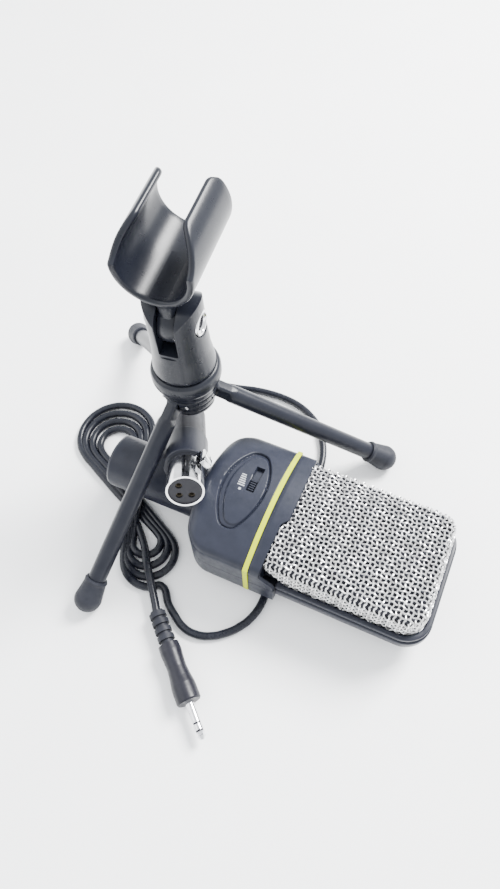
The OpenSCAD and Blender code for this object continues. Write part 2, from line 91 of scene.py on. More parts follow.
def make_camera():
    data = bpy.data.cameras.new("camera")
    data.sensor_fit = "AUTO"
    data.sensor_width = 36
    data.lens = 27.15
    camera = bpy.data.objects.new("camera", data)
    right = Vector((0.9103, 0.4111, -0.0495))
    up = Vector((-0.3269, 0.7870, 0.5232))
    back = right.cross(up).normalized()
    up = back.cross(right).normalized()
    placed = Matrix((right.normalized(), up, back)).transposed().to_4x4()
    placed.translation = (0.07397, -0.11844, 0.27531)
    camera.matrix_world = placed
    bpy.context.collection.objects.link(camera)
    bpy.context.scene.camera = camera


make_camera()


# ---------- materials ----------

def new_material(name, colour, roughness, metallic=0.0):
    material = bpy.data.materials.new(name)
    material.use_nodes = True
    shader = material.node_tree.nodes["Principled BSDF"]
    shader.inputs["Base Color"].default_value = (*colour, 1)
    shader.inputs["Roughness"].default_value = roughness
    shader.inputs["Metallic"].default_value = metallic
    return material, shader


def add_node(material, kind, **values):
    node = material.node_tree.nodes.new(kind)
    for key, value in values.items():
        node.inputs[key].default_value = value
    return node


def link(material, source, target):
    material.node_tree.links.new(source, target)


def object_noise(material, scale, detail=4.0, stretch=(1, 1, 1)):
    """Noise in the object's own space; scale is in features per metre."""
    place = add_node(material, "ShaderNodeTexCoord")
    mapping = add_node(material, "ShaderNodeMapping", Scale=stretch)
    texture = add_node(material, "ShaderNodeTexNoise", Scale=scale, Detail=detail)
    link(material, place.outputs["Object"], mapping.inputs["Vector"])
    link(material, mapping.outputs["Vector"], texture.inputs["Vector"])
    return texture.outputs["Fac"]


def ramp(material, source, low, high, start=0.3, end=0.7):
    """Map a 0-1 signal onto colours or greys from low to high."""
    node = material.node_tree.nodes.new("ShaderNodeValToRGB")
    node.color_ramp.elements[0].position = start
    node.color_ramp.elements[1].position = end
    node.color_ramp.elements[0].color = (*low, 1) if len(low) == 3 else low
    node.color_ramp.elements[1].color = (*high, 1) if len(high) == 3 else high
    link(material, source, node.inputs["Fac"])
    return node.outputs["Color"]


def vary(material, shader, colours, roughness, scale=220.0):
    """Soft patches of colour and of roughness over the whole surface."""
    patches = object_noise(material, scale)
    link(material, ramp(material, patches, *colours), shader.inputs["Base Color"])
    wear = object_noise(material, scale * 2.3, 6.0)
    greys = [(value,) * 3 for value in roughness]
    link(material, ramp(material, wear, *greys), shader.inputs["Roughness"])


def add_bump(material, shader, height, strength, distance):
    bump = add_node(material, "ShaderNodeBump", Strength=strength, Distance=distance)
    link(material, height, bump.inputs["Height"])
    link(material, bump.outputs["Normal"], shader.inputs["Normal"])


def moulded(name, dark, light, roughness, grain=2600.0, strength=0.05, specular=0.24):
    """Injection-moulded plastic or rubber with a fine spark-eroded grain."""
    material, shader = new_material(name, dark, roughness[0])
    vary(material, shader, (dark, light), roughness)
    add_bump(material, shader, object_noise(material, grain, 3.0), strength, 0.0002)
    shader.inputs["Specular IOR Level"].default_value = specular
    return material


def metal(name, dark, light, roughness, stretch=(1, 1, 1)):
    """Polished or drawn metal with a faint bump, which stretch can draw out into streaks along its
    working direction.
    """
    material, shader = new_material(name, light, roughness[0], 1.0)
    vary(material, shader, (dark, light), roughness, 400.0)
    add_bump(material, shader, object_noise(material, 900.0, 5.0, stretch), 0.05, 0.0001)
    return material


SATIN = moulded("satin_black_plastic", (0.009, 0.010, 0.017), (0.013, 0.015, 0.023), (0.30, 0.42))
SHELL_PLASTIC = moulded("shell_plastic", (0.010, 0.012, 0.020), (0.014, 0.016, 0.026),
                        (0.34, 0.44), 2200, 0.1)
MARK = moulded("pale_mark", (0.30, 0.31, 0.33), (0.36, 0.37, 0.39), (0.4, 0.5), 3000)
CLIP_PLASTIC = moulded("clip_plastic", (0.006, 0.007, 0.011), (0.008, 0.009, 0.013), (0.27, 0.30))
PAINT = moulded("painted_tube", (0.006, 0.007, 0.012), (0.009, 0.010, 0.015), (0.29, 0.33), 1500)
RUBBER = moulded("soft_rubber", (0.008, 0.009, 0.014), (0.014, 0.015, 0.021), (0.5, 0.65), 1800, 0.2)
LIME = moulded("lime_gloss", (0.42, 0.48, 0.0), (0.48, 0.54, 0.0), (0.34, 0.42), 1200, 0.04,
               0.1)
# Connector contacts: brassy contacts darkened with painted shade, standing in for the dark holes they
# sit in
PAINTED_SHADE_SOCKET = moulded("socket_painted_shade", (0.05, 0.042, 0.03), (0.09, 0.075, 0.05), (0.4, 0.5))
JACKET = moulded("pvc_jacket", (0.005, 0.006, 0.010), (0.009, 0.010, 0.015), (0.22, 0.36), 1400, 0.06)
DARK = moulded("connector_black", (0.006, 0.006, 0.010), (0.010, 0.010, 0.015), (0.3, 0.45))
FOAM = moulded("dark_foam", (0.010, 0.010, 0.013), (0.035, 0.036, 0.045), (0.85, 0.95), 1500, 0.9)
BOARD = moulded("circuit_board", (0.01, 0.09, 0.03), (0.015, 0.13, 0.045), (0.3, 0.45), 500)
CHROME = metal("chrome", (0.62, 0.62, 0.63), (0.86, 0.86, 0.87), (0.06, 0.16))
WIRE = metal("wire_steel", (0.52, 0.51, 0.50), (0.86, 0.86, 0.86), (0.30, 0.46))
BRASS = metal("brass", (0.55, 0.38, 0.14), (0.82, 0.62, 0.28), (0.16, 0.3))
STEEL = metal("plain_steel", (0.35, 0.35, 0.36), (0.6, 0.6, 0.62), (0.2, 0.36))

NODE_MATERIALS = {
    SATIN: ("front_shell", "rear_shell", "switch_plate", "head_frame_front", "head_frame_rear",
            "handle"),
    CLIP_PLASTIC: ("mic_clip", "clip_base", "leg_hub", "hub_cap", "leg_end_front",
                   "leg_end_right", "leg_end_back", "capsule_holder"),
    PAINT: ("leg_front", "leg_right", "leg_back", "xlr_shell"),
    RUBBER: ("foot_front", "foot_right", "foot_back", "xlr_boot", "plug_boot"),
    LIME: ("accent_ring",),
    JACKET: ("cable_feed", "cable_hank", "cable_tail"),
    DARK: ("switch_knob", "xlr_male_insert", "xlr_insert", "xlr_sleeve", "xlr_clamp",
           "plug_body", "plug_insulators"),
    FOAM: ("foam_front", "foam_rear"),
    BOARD: ("circuit_board",),
    CHROME: ("xlr_barrel", "xlr_latch", "clip_nut", "plug_sleeve", "plug_ring", "plug_tip"),
    WIRE: ("front_grille", "rear_grille"),
    # the contacts carry the painted shade of their holes
    PAINTED_SHADE_SOCKET: ("xlr_contacts",),
    BRASS: ("capsule", "xlr_male_pins", "thread_insert"),
    STEEL: ("switch_body", "board_parts", "housing_screws", "hub_stud", "leg_pins",
            "clip_bolt"),
}


def dress(obj, material):
    obj.data.materials.clear()
    obj.data.materials.append(material)


for finish_material, node_names in NODE_MATERIALS.items():
    for node_name in node_names:
        dress(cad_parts[node_name], finish_material)


# ---------- the lead ----------

CORD_D = 3.4

FEED_ROUTE = [
    (-14, 16.1, 23.8), (-17.4, 22, 20.8), (-20, 28, 16.2), (-20.6, 33.6, 10.8),
    (-18.2, 38, 6.2), (-13.8, 40.4, 3.2), (-8, 41.8, 1.9), (-1.4, 43.2, 1.7),
    (6, 45, 1.7), (14, 46, 1.7), (22, 46, 1.7), (30, 44.6, 1.7), (37.2, 41.4, 1.7),
    (43.4, 36.6, 1.7), (47.9, 30.2, 1.7), (51, 23.5, 1.7), (52.6, 16.6, 1.7),
    (53.2, 9, 1.7), (53, 1, 1.7), (52.4, -7, 1.7), (51.8, -15, 1.7), (51.4, -23, 1.7),
    (51.4, -31, 1.7), (52, -39, 1.7), (53, -47, 1.7), (53.6, -54, 1.7), (52.4, -61, 1.7),
    (49.4, -67, 1.7), (45, -71.9, 1.7), (40, -75.4, 1.7), (34, -77.2, 1.7),
    (28, -76.6, 1.7), (22.4, -73.6, 1.7), (18, -70.6, 1.7)
]
TAIL_ROUTE = [
    (-4, -51.6, 3.6), (0.4, -57.4, 5.1), (5, -63, 5.3), (9, -67.8, 5.2),
    (12.2, -71.6, 5.1), (13.9, -73.7, 5), (15.5, -75.9, 4.9)
]

# Hank: a crossed belt wound four times round two centres, as (x, y), with its radii
HANK_TURNS = 4
HANK_UPPER = (Vector((-41.5, -10.5)), Vector((-1.0, 1.4)), 6.8, 3.0)
HANK_LOWER = (Vector((1.6, -55.4)), Vector((-1.9, 1.9)), 13.8, -2.5)
HANK_RISE = CORD_D


def belt_end(end, turns):
    """Centre and radius of one end of the belt after so many turns."""
    centre, drift, radius, growth = end
    return centre + drift * turns, radius + growth * turns


def belt_point(turns, phase):
    """Point of the belt: phase 0-1 runs round the lower end, up, round the upper end, down."""
    upper, upper_r = belt_end(HANK_UPPER, turns)
    lower, lower_r = belt_end(HANK_LOWER, turns)
    along = (lower - upper).normalized()
    side = Vector((along.y, -along.x))
    wrap = math.pi / 2 + math.asin((upper_r + lower_r) / (lower - upper).length)

    def on_lower(angle):
        return lower + lower_r * (math.cos(angle) * along + math.sin(angle) * side)

    def on_upper(angle):
        return upper + upper_r * (math.sin(angle) * side - math.cos(angle) * along)

    if phase < 0.28:
        return on_lower(wrap * (phase / 0.14 - 1))
    if phase < 0.5:
        return on_lower(wrap).lerp(on_upper(-wrap), (phase - 0.28) / 0.22)
    if phase < 0.78:
        return on_upper(wrap * ((phase - 0.5) / 0.14 - 1))
    return on_upper(wrap).lerp(on_lower(-wrap), (phase - 0.78) / 0.22)


def smooth_step(low, high, value):
    t = min(max((value - low) / (high - low), 0), 1)
    return t * t * (3 - 2 * t)


def hank_points():
    """The winding from the feed's end to the start of the tail, in the stand's frame."""
    points = []
    steps = 36
    first = round(0.14 * steps)
    last = HANK_TURNS * steps - 3
    for i in range(first, last + 1):
        turns = i / steps
        phase = turns % 1
        place = belt_point(turns, phase)
        wobble = 0.5 * math.sin(5.1 * turns) * math.sin(2 * math.pi * phase)
        up_leg = (phase - 0.28) / 0.22
        hump = smooth_step(0.0, 0.3, up_leg) * (1 - smooth_step(0.7, 1.0, up_leg))
        height = CORD_D / 2 + HANK_RISE * hump
        points.append((place.x + wobble, place.y + wobble, height))
    return points


def make_cord():
    """The whole lead as one round curve, from the connector's boot to the plug's boot."""
    data = bpy.data.curves.new("lead", "CURVE")
    data.dimensions = "3D"
    data.bevel_depth = CORD_D / 2 * MM
    data.bevel_resolution = 5
    data.resolution_u = 5
    data.use_fill_caps = True
    route = FEED_ROUTE + hank_points() + TAIL_ROUTE
    spline = data.splines.new("BEZIER")
    spline.bezier_points.add(len(route) - 1)
    for knot, place in zip(spline.bezier_points, route):
        knot.co = STAND @ (Vector(place) * MM)
        knot.handle_left_type = knot.handle_right_type = "AUTO"
    lead = bpy.data.objects.new("lead", data)
    bpy.context.collection.objects.link(lead)
    dress(lead, JACKET)
    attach(lead, "microphone")
    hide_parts("cable_feed", "cable_hank", "cable_tail")


make_cord()


# ---------- mesh builders ----------

def filleted(outline, steps=5):
    """Points from corners given as (along, across, fillet): each corner becomes an arc."""
    points = []
    last = len(outline) - 1
    for i, (along, across, fillet) in enumerate(outline):
        here = Vector((along, across))
        if fillet == 0 or i in (0, last):
            points.append(here)
            continue
        before = Vector(outline[i - 1][:2]) - here
        after = Vector(outline[i + 1][:2]) - here
        cut = min(fillet, 0.48 * before.length, 0.48 * after.length)
        start = here + before.normalized() * cut
        end = here + after.normalized() * cut
        for k in range(steps + 1):
            t = k / steps
            points.append(start * (1 - t) ** 2 + here * 2 * t * (1 - t) + end * t * t)
    return points


def finish_mesh(name, mesh, material, body, replaced, smooth=35):
    """Turn a bmesh in the row's frame into a named piece that rides on its body."""
    bmesh.ops.remove_doubles(mesh, verts=mesh.verts, dist=1e-6)
    bmesh.ops.recalc_face_normals(mesh, faces=mesh.faces)
    data = bpy.data.meshes.new(name)
    mesh.to_mesh(data)
    mesh.free()
    data.polygons.foreach_set("use_smooth", [True] * len(data.polygons))
    data.set_sharp_from_angle(angle=math.radians(smooth))
    piece = bpy.data.objects.new(name, data)
    bpy.context.collection.objects.link(piece)
    dress(piece, material)
    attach(piece, body)
    if replaced:
        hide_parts(*replaced)
    return piece


def add_turned(mesh, matrix, outline, segments=64):
    """Solid of revolution about the frame's X axis from (along, radius, fillet) corners."""
    rings = []
    for point in filleted(outline):
        if point.y < 1e-6:
            rings.append([mesh.verts.new(matrix @ (Vector((point.x, 0, 0)) * MM))])
            continue
        ring = []
        for k in range(segments):
            angle = 2 * math.pi * k / segments
            place = Vector((point.x, point.y * math.cos(angle), point.y * math.sin(angle)))
            ring.append(mesh.verts.new(matrix @ (place * MM)))
        rings.append(ring)
    join_rings(mesh, rings)


def join_rings(mesh, rings):
    """Skin a row of closed rings; a ring of one vertex closes the end."""
    for first, second in zip(rings, rings[1:]):
        if len(first) == 1 and len(second) == 1:
            continue
        count = max(len(first), len(second))
        for k in range(count):
            after = (k + 1) % count
            corners = []
            for vertex in (first[k % len(first)], first[after % len(first)],
                           second[after % len(second)], second[k % len(second)]):
                if vertex not in corners:
                    corners.append(vertex)
            mesh.faces.new(corners)


def add_loft(mesh, matrix, sections):
    """Closed solid through sections, each a loop of points in millimetres."""
    rings = [[mesh.verts.new(matrix @ (Vector(point) * MM)) for point in section]
             for section in sections]
    join_rings(mesh, rings)
    mesh.faces.new(rings[0])
    mesh.faces.new(list(reversed(rings[-1])))


def turned_piece(name, matrix, outlines, material, body, replaced, segments=64):
    mesh = bmesh.new()
    for outline in outlines:
        add_turned(mesh, matrix, outline, segments)
    return finish_mesh(name, mesh, material, body, replaced)


def add_tube(mesh, path, radius, sides=6):
    """Thin round wire along a path of points already in the row's frame."""
    rings = []
    last = len(path) - 1
    for i, place in enumerate(path):
        heading = (path[min(i + 1, last)] - path[max(i - 1, 0)]).normalized()
        across = heading.orthogonal().normalized()
        if rings:
            across = (previous - heading * previous.dot(heading)).normalized()
        previous = across
        other = heading.cross(across)
        ring = []
        for k in range(sides):
            angle = 2 * math.pi * k / sides
            offset = math.cos(angle) * across + math.sin(angle) * other
            ring.append(mesh.verts.new(place + radius * offset))
        rings.append(ring)
    join_rings(mesh, rings)
    mesh.faces.new(rings[0])
    mesh.faces.new(list(reversed(rings[-1])))


# ---------- woven wire grille ----------

BODY_TIP, BODY_EDGE, BODY_HALF = -104.5, -61.6, 28.75
PITCH = 1.9
WIRE_R = 0.32
WEAVE = 0.3            # how far a wire is crimped in and out
SWAY = 0.27            # how far it is bent from side to side
GRILLE_START = -58.5   # the form is followed from the head's end to here
GRILLE_BACK = 9.5      # and carried on straight by this much
WIRES_ACROSS, WIRES_ALONG, SIDE_WIRES = range(-35, -1), range(-12, 13), range(1, 7)


def shell_edge(y, z):
    """Where the shell ends over the wires: farther out on its top, over the far half."""
    top = -66.9 + 2.3 * smooth_step(-8.5, -5, y) - 0.9 * (y / BODY_HALF) ** 2
    return BODY_EDGE + (top - BODY_EDGE) * smooth_step(20, 25.5, z)


class GrilleForm:
    """The outer surface of one half of the head, carried on a little under the body."""

    def __init__(self, node, up, lip):
        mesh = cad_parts[node].data
        corners = [MIC.inverted() @ vertex.co / MM for vertex in mesh.vertices]
        self.tree = BVHTree.FromPolygons(corners, [tuple(f.vertices) for f in mesh.polygons])
        self.up = up
        self.lip = lip

    def path(self, middle, first, second, angles):
        """Points and normals met when looking back at the middle from each angle."""
        hits = []
        for angle in angles:
            ray = math.cos(angle) * first + math.sin(angle) * second
            place, normal, _, _ = self.tree.ray_cast(middle + ray * 90, -ray, 88)
            if place is not None:
                hits.append((place, normal))
        return hits

    def across(self, x):
        """Section across the head, from one lip over to the other."""
        base_x = max(x, GRILLE_START)
        fan = [0.02 + (math.pi - 0.04) * k / 200 for k in range(201)]
        hits = self.path(Vector((base_x, 0, self.lip)), Vector((0, 1, 0)),
                         Vector((0, 0, self.up)), fan)
        back = Vector((x - base_x, 0, 0))
        return [(place + back, normal) for place, normal in hits]

    def along(self, y):
        """Section along the head, up the end wall and back to the body."""
        fan = [0.03 + 2.9 * k / 300 for k in range(301)]
        hits = self.path(Vector((-45, y, self.lip)), Vector((1, 0, 0)),
                         Vector((0, 0, self.up)), fan)
        return carried_back([hit for hit in hits if hit[0].x > GRILLE_START])

    def round_sides(self, z):
        """Level section along one side, round the end and back along the other."""
        fan = [-2.9 + 5.8 * k / 400 for k in range(401)]
        hits = self.path(Vector((-40, 0, z)), Vector((1, 0, 0)), Vector((0, 1, 0)), fan)
        hits = [hit for hit in hits if hit[0].x > GRILLE_START]
        return list(reversed(carried_back(list(reversed(carried_back(hits))))))


def carried_back(hits):
    """The same path, carried on at its last point to where the body covers it."""
    if not hits:
        return hits
    place, normal = hits[-1]
    return hits + [(place - Vector((GRILLE_BACK, 0, 0)), normal)]


def even_steps(hits, step):
    """The same path as points an even distance apart, with their normals."""
    points, carry = [], 0.0
    for (a, normal_a), (b, normal_b) in zip(hits, hits[1:]):
        span = (b - a).length
        while carry <= span and span > 0:
            t = carry / span
            points.append((a.lerp(b, t), normal_a.lerp(normal_b, t).normalized()))
            carry += step
        carry -= span
    return points


def add_wire(mesh, hits, start, parity, step):
    """Crimp a wire in and out where it crosses the wires of the other family."""
    points = even_steps(hits, step)
    if start is None:
        start = -(len(points) - 1) * step / 2
    path = []
    for i, (place, normal) in enumerate(points):
        edge = shell_edge(place.y, place.z)
        if place.x < edge - 0.9:
            continue
        after = points[min(i + 1, len(points) - 1)][0] - points[max(i - 1, 0)][0]
        sway = normal.cross(after.normalized())
        turned = math.pi * (start + i * step) / PITCH
        depth = WIRE_R + WEAVE + 0.05 - WEAVE * parity * math.cos(turned)
        depth += 1.1 * (1 - smooth_step(-0.3, 1.2, place.x - edge))
        path.append(MIC @ ((place - normal * depth + sway * SWAY * math.sin(turned)) * MM))
    if len(path) > 3:
        add_tube(mesh, path, WIRE_R * MM, 5)


def make_grille(name, node, up, lip, step):
    """Wires across, along and round the sides of one half of the head."""
    form = GrilleForm(node, up, lip)
    mesh = bmesh.new()
    for i in WIRES_ACROSS:
        add_wire(mesh, form.across(i * PITCH), None, (-1) ** i, step)
    for i in WIRES_ALONG:
        hits = list(reversed(form.along(i * PITCH)))
        if hits:
            add_wire(mesh, hits, hits[0][0].x, -(-1) ** i, step)
    for i in SIDE_WIRES:
        hits = form.round_sides(lip + up * (i - 0.5) * PITCH)
        if hits:
            add_wire(mesh, hits, hits[0][0].x, -(-1) ** i, step)
    finish_mesh(name, mesh, WIRE, "microphone", (node,), 60)
    return form


def make_foam(name, form, node):
    """Foam lining pressed against the inside of the wires."""
    mesh = bmesh.new()
    sections = []
    for x in [-67 + 4 * k for k in range(16)] + [-5.2]:
        ring = []
        for k, (place, normal) in enumerate(form.across(x)[::5]):
            bulge = 0.25 * noise.noise(place * 0.35)
            ring.append(place - normal * (2 * WIRE_R + 2 * WEAVE + 0.35 + bulge))
        sections.append(ring)
    fewest = min(len(ring) for ring in sections)
    add_loft(mesh, MIC, [resized(ring, fewest) for ring in sections])
    finish_mesh(name, mesh, FOAM, "microphone", (node,), 60)


def resized(ring, count):
    """The same run of points with another count."""
    picks = [k * (len(ring) - 1) / (count - 1) for k in range(count)]
    return [ring[int(t)].lerp(ring[min(int(t) + 1, len(ring) - 1)], t % 1) for t in picks]


make_foam("front_foam", make_grille("front_mesh", "front_grille", 1, 17.0, PITCH / 4),
          "foam_front")
make_foam("rear_foam", make_grille("rear_mesh", "rear_grille", -1, 16.0, PITCH / 2),
          "foam_rear")


# ---------- microphone body ----------

BODY_TOP, BODY_REAR, SEAM = 35.4, 2.1, 16.5
CROWN, FRONT_SHOULDER, FRONT_END_R = 8.0, 4.6, 5.0
REAR_CROWN, REAR_SHOULDER, REAR_END_R = 2.5, 3.0, 4.0
END_ROUND, END_BULGE, BULGE_REACH, SEAM_GAP = 11.0, 3.4, 24, 0.12
RING_X, RING_HALF, RING_DEPTH = -73.5, 1.05, 0.7
# Panel and plate: middle x and y, half length along y, half width.
# Slot: middle x and y, half sizes along x and along y.
LENS = (-87.0, 1.0, 21.5, 9.4)
PLATE = (-86.0, 1.0, 19.2, 7.6)
SLOT = (-84.3, 6.0, 1.6, 6.0)
KNOB_HALF, KNOB_Z = 2.7, 32.9
MARK_X = -88.4
PANEL_DEPTH, PLATE_RISE, GROOVE_DEPTH, SLOT_DEPTH = 0.75, 0.55, 0.5, 1.9


def end_round(distance, radius):
    """How far a rounded end draws in at a distance from its tip."""
    reach = max(radius - distance, 0)
    return radius - math.sqrt(radius ** 2 - reach ** 2)


def lens_gap(x, y, lens):
    """Distance from a lens outline's edge, negative inside; its long axis runs along y."""
    middle_x, middle_y, half_long, half_short = lens
    radius = (half_long ** 2 + half_short ** 2) / (2 * half_short)
    offset = radius - half_short
    dx, dy = abs(x - middle_x) + offset, y - middle_y
    side = math.hypot(dx, dy) - radius
    end = abs(dy) - 0.86 * half_long + 0.18 * (x - middle_x) ** 2 / half_short
    blend = max(0.0, 1.6 - abs(side - end))
    return max(side, end) + blend * blend / 6.4


def box_gap(x, y, box):
    """Distance from a rectangle's edge, negative inside; box is middle x, y and halves."""
    return max(abs(x - box[0]) - box[2], abs(y - box[1]) - box[3])


def front_relief(x, y):
    """Depth below the crown of the panel, its edge groove, raised plate and slot."""
    panel = lens_gap(x, y, LENS)
    depth = PANEL_DEPTH * (1 - smooth_step(-0.7, 0.1, panel))
    depth -= PLATE_RISE * (1 - smooth_step(-0.5, 0.1, lens_gap(x, y, PLATE)))
    depth += GROOVE_DEPTH * math.exp(-(min(abs(panel + 0.55), 3) / 0.3) ** 2)
    depth += SLOT_DEPTH * (1 - smooth_step(-0.15, 0.1, box_gap(x, y, SLOT)))
    return depth


def rim_section(width, top, crown, shoulder, low, columns):
    """Section of a body half, from one wall over its crown to the other, as (y, z)."""
    steep = 2 * crown / BODY_HALF ** 2
    touch = width - 0.75 * shoulder
    slope = math.atan(steep * touch)
    centre_y = touch - shoulder * math.sin(slope)
    radius = min(shoulder, width - centre_y)
    crown_z = top - steep / 2 * touch ** 2
    centre_z = crown_z - radius * math.cos(slope)
    centre_y = width - radius
    side = [(width, low + (centre_z - low) * k / 5) for k in range(5)]
    for k in range(10):
        angle = (math.pi / 2 - slope) * k / 9
        side.append((centre_y + radius * math.cos(angle), centre_z + radius * math.sin(angle)))
    first_y = side[-1][0]
    lift = side[-1][1] - (top - steep / 2 * first_y ** 2)
    over = []
    for k in range(1, columns):
        y = first_y * (1 - 2 * k / columns)
        over.append((y, top - steep / 2 * y ** 2 + lift * (y / first_y) ** 2))
    return side + over + [(-y, z) for y, z in reversed(side)]


def shell_places(fine):
    """Distances from the tip: close together round the end and over the panel."""
    tip = [END_ROUND * (1 - math.cos(math.pi / 2 * k / 14)) for k in range(15)]
    if not fine:
        return tip + [END_ROUND + 3.5 * k for k in range(1, 6)]
    return [d for d in tip if d < 8] + [8 + 0.25 * k for k in range(89)]


def shell_outline(up, reach, sink, columns):
    """Section of a body half at a distance from the tip; only the front half's can sink."""
    width = BODY_HALF - end_round(reach, END_ROUND)
    if up > 0:
        top = BODY_TOP - end_round(reach, FRONT_END_R) - sink
        return rim_section(width - sink, top, CROWN, FRONT_SHOULDER, SEAM + SEAM_GAP, columns)
    top = -BODY_REAR - end_round(reach, REAR_END_R)
    flipped = rim_section(width, top, REAR_CROWN, REAR_SHOULDER, -SEAM + SEAM_GAP, columns)
    return [(y, -z) for y, z in flipped]


def shell_mesh(name, up, replaced, columns):
    """One half of the body as a closed form: outer skin with the ring's groove, turned in
    at the mesh edge. Its inside isn't hollow: the hollow shells are the CAD's."""
    mesh = bmesh.new()
    ring_low = RING_X - BODY_TIP - RING_HALF
    ring_high = RING_X - BODY_TIP + RING_HALF
    plain = shell_places(up > 0) + [34, 35.5, 37]
    places = [(d, 0) for d in plain if abs(d - (ring_low + ring_high) / 2) > 1.3]
    places += [(ring_low - 0.12, 0), (ring_low, 0.1), (ring_low + 0.02, RING_DEPTH),
               (ring_high - 0.02, RING_DEPTH), (ring_high, 0.1), (ring_high + 0.12, 0)]
    sections = []
    for reach, sink in sorted(set(places)):
        section = []
        for y, z in shell_outline(up, reach, sink, columns):
            bulge = END_BULGE * (y / BODY_HALF) ** 2 * max(0, 1 - reach / BULGE_REACH)
            x = BODY_TIP + reach + bulge
            section.append(Vector((x, y, z - front_relief(x, y) if up > 0 else z)))
        sections.append(section)
    for sink, back in ((0, 0.25), (1.3, 0), (1.6, 6)) if up > 0 else ((0, 0),):
        section = []
        for y, z in shell_outline(up, BODY_EDGE - BODY_TIP, sink, columns):
            edge = shell_edge(y, z) if up > 0 else BODY_EDGE - 0.1
            section.append(Vector((edge - back, y, z)))
        sections.append(section)
    add_loft(mesh, MIC, sections)
    finish_mesh(name, mesh, SHELL_PLASTIC, "microphone", replaced, 40)


shell_mesh("front_half", 1, ("front_shell", "switch_plate"), 190)
shell_mesh("rear_half", -1, ("rear_shell",), 40)


def make_knob():
    """Slide switch knob: ribs across a low block, in the near end of its slot."""
    mesh = bmesh.new()
    knob_y = SLOT[1] - SLOT[3] + 3.0
    base, rib_top = 1.1, 1.75
    outline = [(-KNOB_HALF, 0), (-KNOB_HALF, base)]
    for k in range(5):
        low = -2.4 + k
        outline += [(low, base), (low + 0.12, rib_top), (low + 0.6, rib_top), (low + 0.72, base)]
    outline += [(KNOB_HALF, base), (KNOB_HALF, 0)]
    sections = []
    for x, inset in ((-1.25, 0.15), (-1.15, 0), (1.15, 0), (1.25, 0.15)):
        sections.append([Vector((SLOT[0] + x, knob_y + y, KNOB_Z + max(z - inset, 0)))
                         for y, z in outline])
    add_loft(mesh, MIC, sections)
    finish_mesh("ribbed_knob", mesh, SATIN, "switch_slider", ("switch_knob",), 30)


make_knob()


def make_ramp_print():
    """Small generic level mark beside the slot: a dot, then bars that shorten."""
    mesh = bmesh.new()
    marks = [(-0.6, 0.5, 0.5)] + [(1.2 + k, 1.5 - 0.11 * k, 0.26) for k in range(10)]
    for y, half_x, half_y in marks:
        corners = []
        for dx, dy in ((-1, -1), (1, -1), (1, 1), (-1, 1)):
            x, side = MARK_X - 0.13 * y + dx * half_x, y + dy * half_y
            z = BODY_TOP - CROWN * (side / BODY_HALF) ** 2 - front_relief(x, side) + 0.03
            corners.append(mesh.verts.new(MIC @ (Vector((x, side, z)) * MM)))
        mesh.faces.new(corners)
    finish_mesh("switch_marks", mesh, MARK, "microphone", (), 30)


make_ramp_print()


# ---------- clip ----------

CRADLE_R, CRADLE_WALL, CRADLE_H = 12.05, 2.4, 30.0
CRADLE_NEAR, CRADLE_FAR = -9.5, 28.5
TONGUE_R, TONGUE_HALF = 8.9, 3.45


def cradle_reach(y):
    """Half angle, from straight down, to which the cradle's wall reaches at a station."""
    near = 96 + 48 * smooth_step(CRADLE_NEAR - 1, CRADLE_NEAR + 15, y)
    left = max(CRADLE_FAR - y, 0)
    round_off = 5 - math.sqrt(max(25 - (5 - min(left, 5)) ** 2, 0))
    return math.radians(near - 5 * round_off)


def cradle_section(y, thin):
    """Closed C outline with round lips; thin takes material off both faces."""
    half = (CRADLE_WALL - thin) / 2
    middle = CRADLE_R + CRADLE_WALL / 2
    reach = cradle_reach(y) - half / middle
    points = []

    def at(angle, radius):
        return Vector((radius * math.sin(angle), y, CRADLE_H - radius * math.cos(angle)))

    steps = 56
    for sign in (1, -1):
        for k in range(steps + 1):
            points.append(at(sign * (-reach + 2 * reach * k / steps), middle + sign * half))
        for k in range(1, 8):
            turned = math.pi * k / 8
            points.append(at(sign * (reach + half / middle * math.sin(turned)),
                             middle + sign * half * math.cos(turned)))
    return points


def disc_sections(radius, rims, segments, place):
    """Rings of a disc with chamfered rims, given as (along, inset), laid out by place."""
    sections = []
    for along, inset in rims:
        ring = []
        for k in range(segments):
            angle = 2 * math.pi * k / segments
            ring.append(place(along, (radius - inset) * math.cos(angle),
                              (radius - inset) * math.sin(angle)))
        sections.append(ring)
    return sections


def rounded_loop(half_x, half_y, radius, middle_y, z, sides=8):
    """Level rectangle with round corners, as one closed loop."""
    points = []
    for corner in range(4):
        sign_x = 1 if corner in (0, 3) else -1
        sign_y = 1 if corner in (0, 1) else -1
        for k in range(sides + 1):
            angle = math.pi / 2 * (corner + k / sides)
            points.append(Vector((sign_x * (half_x - radius) + radius * math.cos(angle),
                                  middle_y + sign_y * (half_y - radius)
                                  + radius * math.sin(angle), z)))
    return points


def make_clip():
    """Trough, the neck that flares up to it, and the tongue round the bolt."""
    mesh = bmesh.new()
    ends = [(0.0, 1.3), (0.15, 0.8), (0.5, 0.3), (1.0, 0.0)]
    stations = [(CRADLE_NEAR + d, thin) for d, thin in ends]
    stations += [(CRADLE_NEAR + 1 + 35 * k / 44, 0) for k in range(1, 44)]
    stations += [(CRADLE_FAR - d, thin) for d, thin in reversed(ends)]
    add_loft(mesh, CLIP, [cradle_section(y, thin) for y, thin in stations])
    neck = []
    for k in range(13):
        t = k / 12
        flare = smooth_step(0.36, 1.15, t) * 1.05
        neck.append(rounded_loop(TONGUE_HALF + 6.6 * flare, 6.3 + 4.6 * flare, 2.6 + 2 * flare,
                                 2.4 * flare, 6 + 12.4 * t))
    add_loft(mesh, CLIP, neck)
    rims = ((-TONGUE_HALF, 0.5), (-3.0, 0), (3.0, 0), (TONGUE_HALF, 0.5))
    add_loft(mesh, CLIP, disc_sections(TONGUE_R, rims, 48, lambda x, y, z: Vector((x, y, z))))
    finish_mesh("clip_trough", mesh, CLIP_PLASTIC, "clip_body",
                ("mic_clip",), 50)


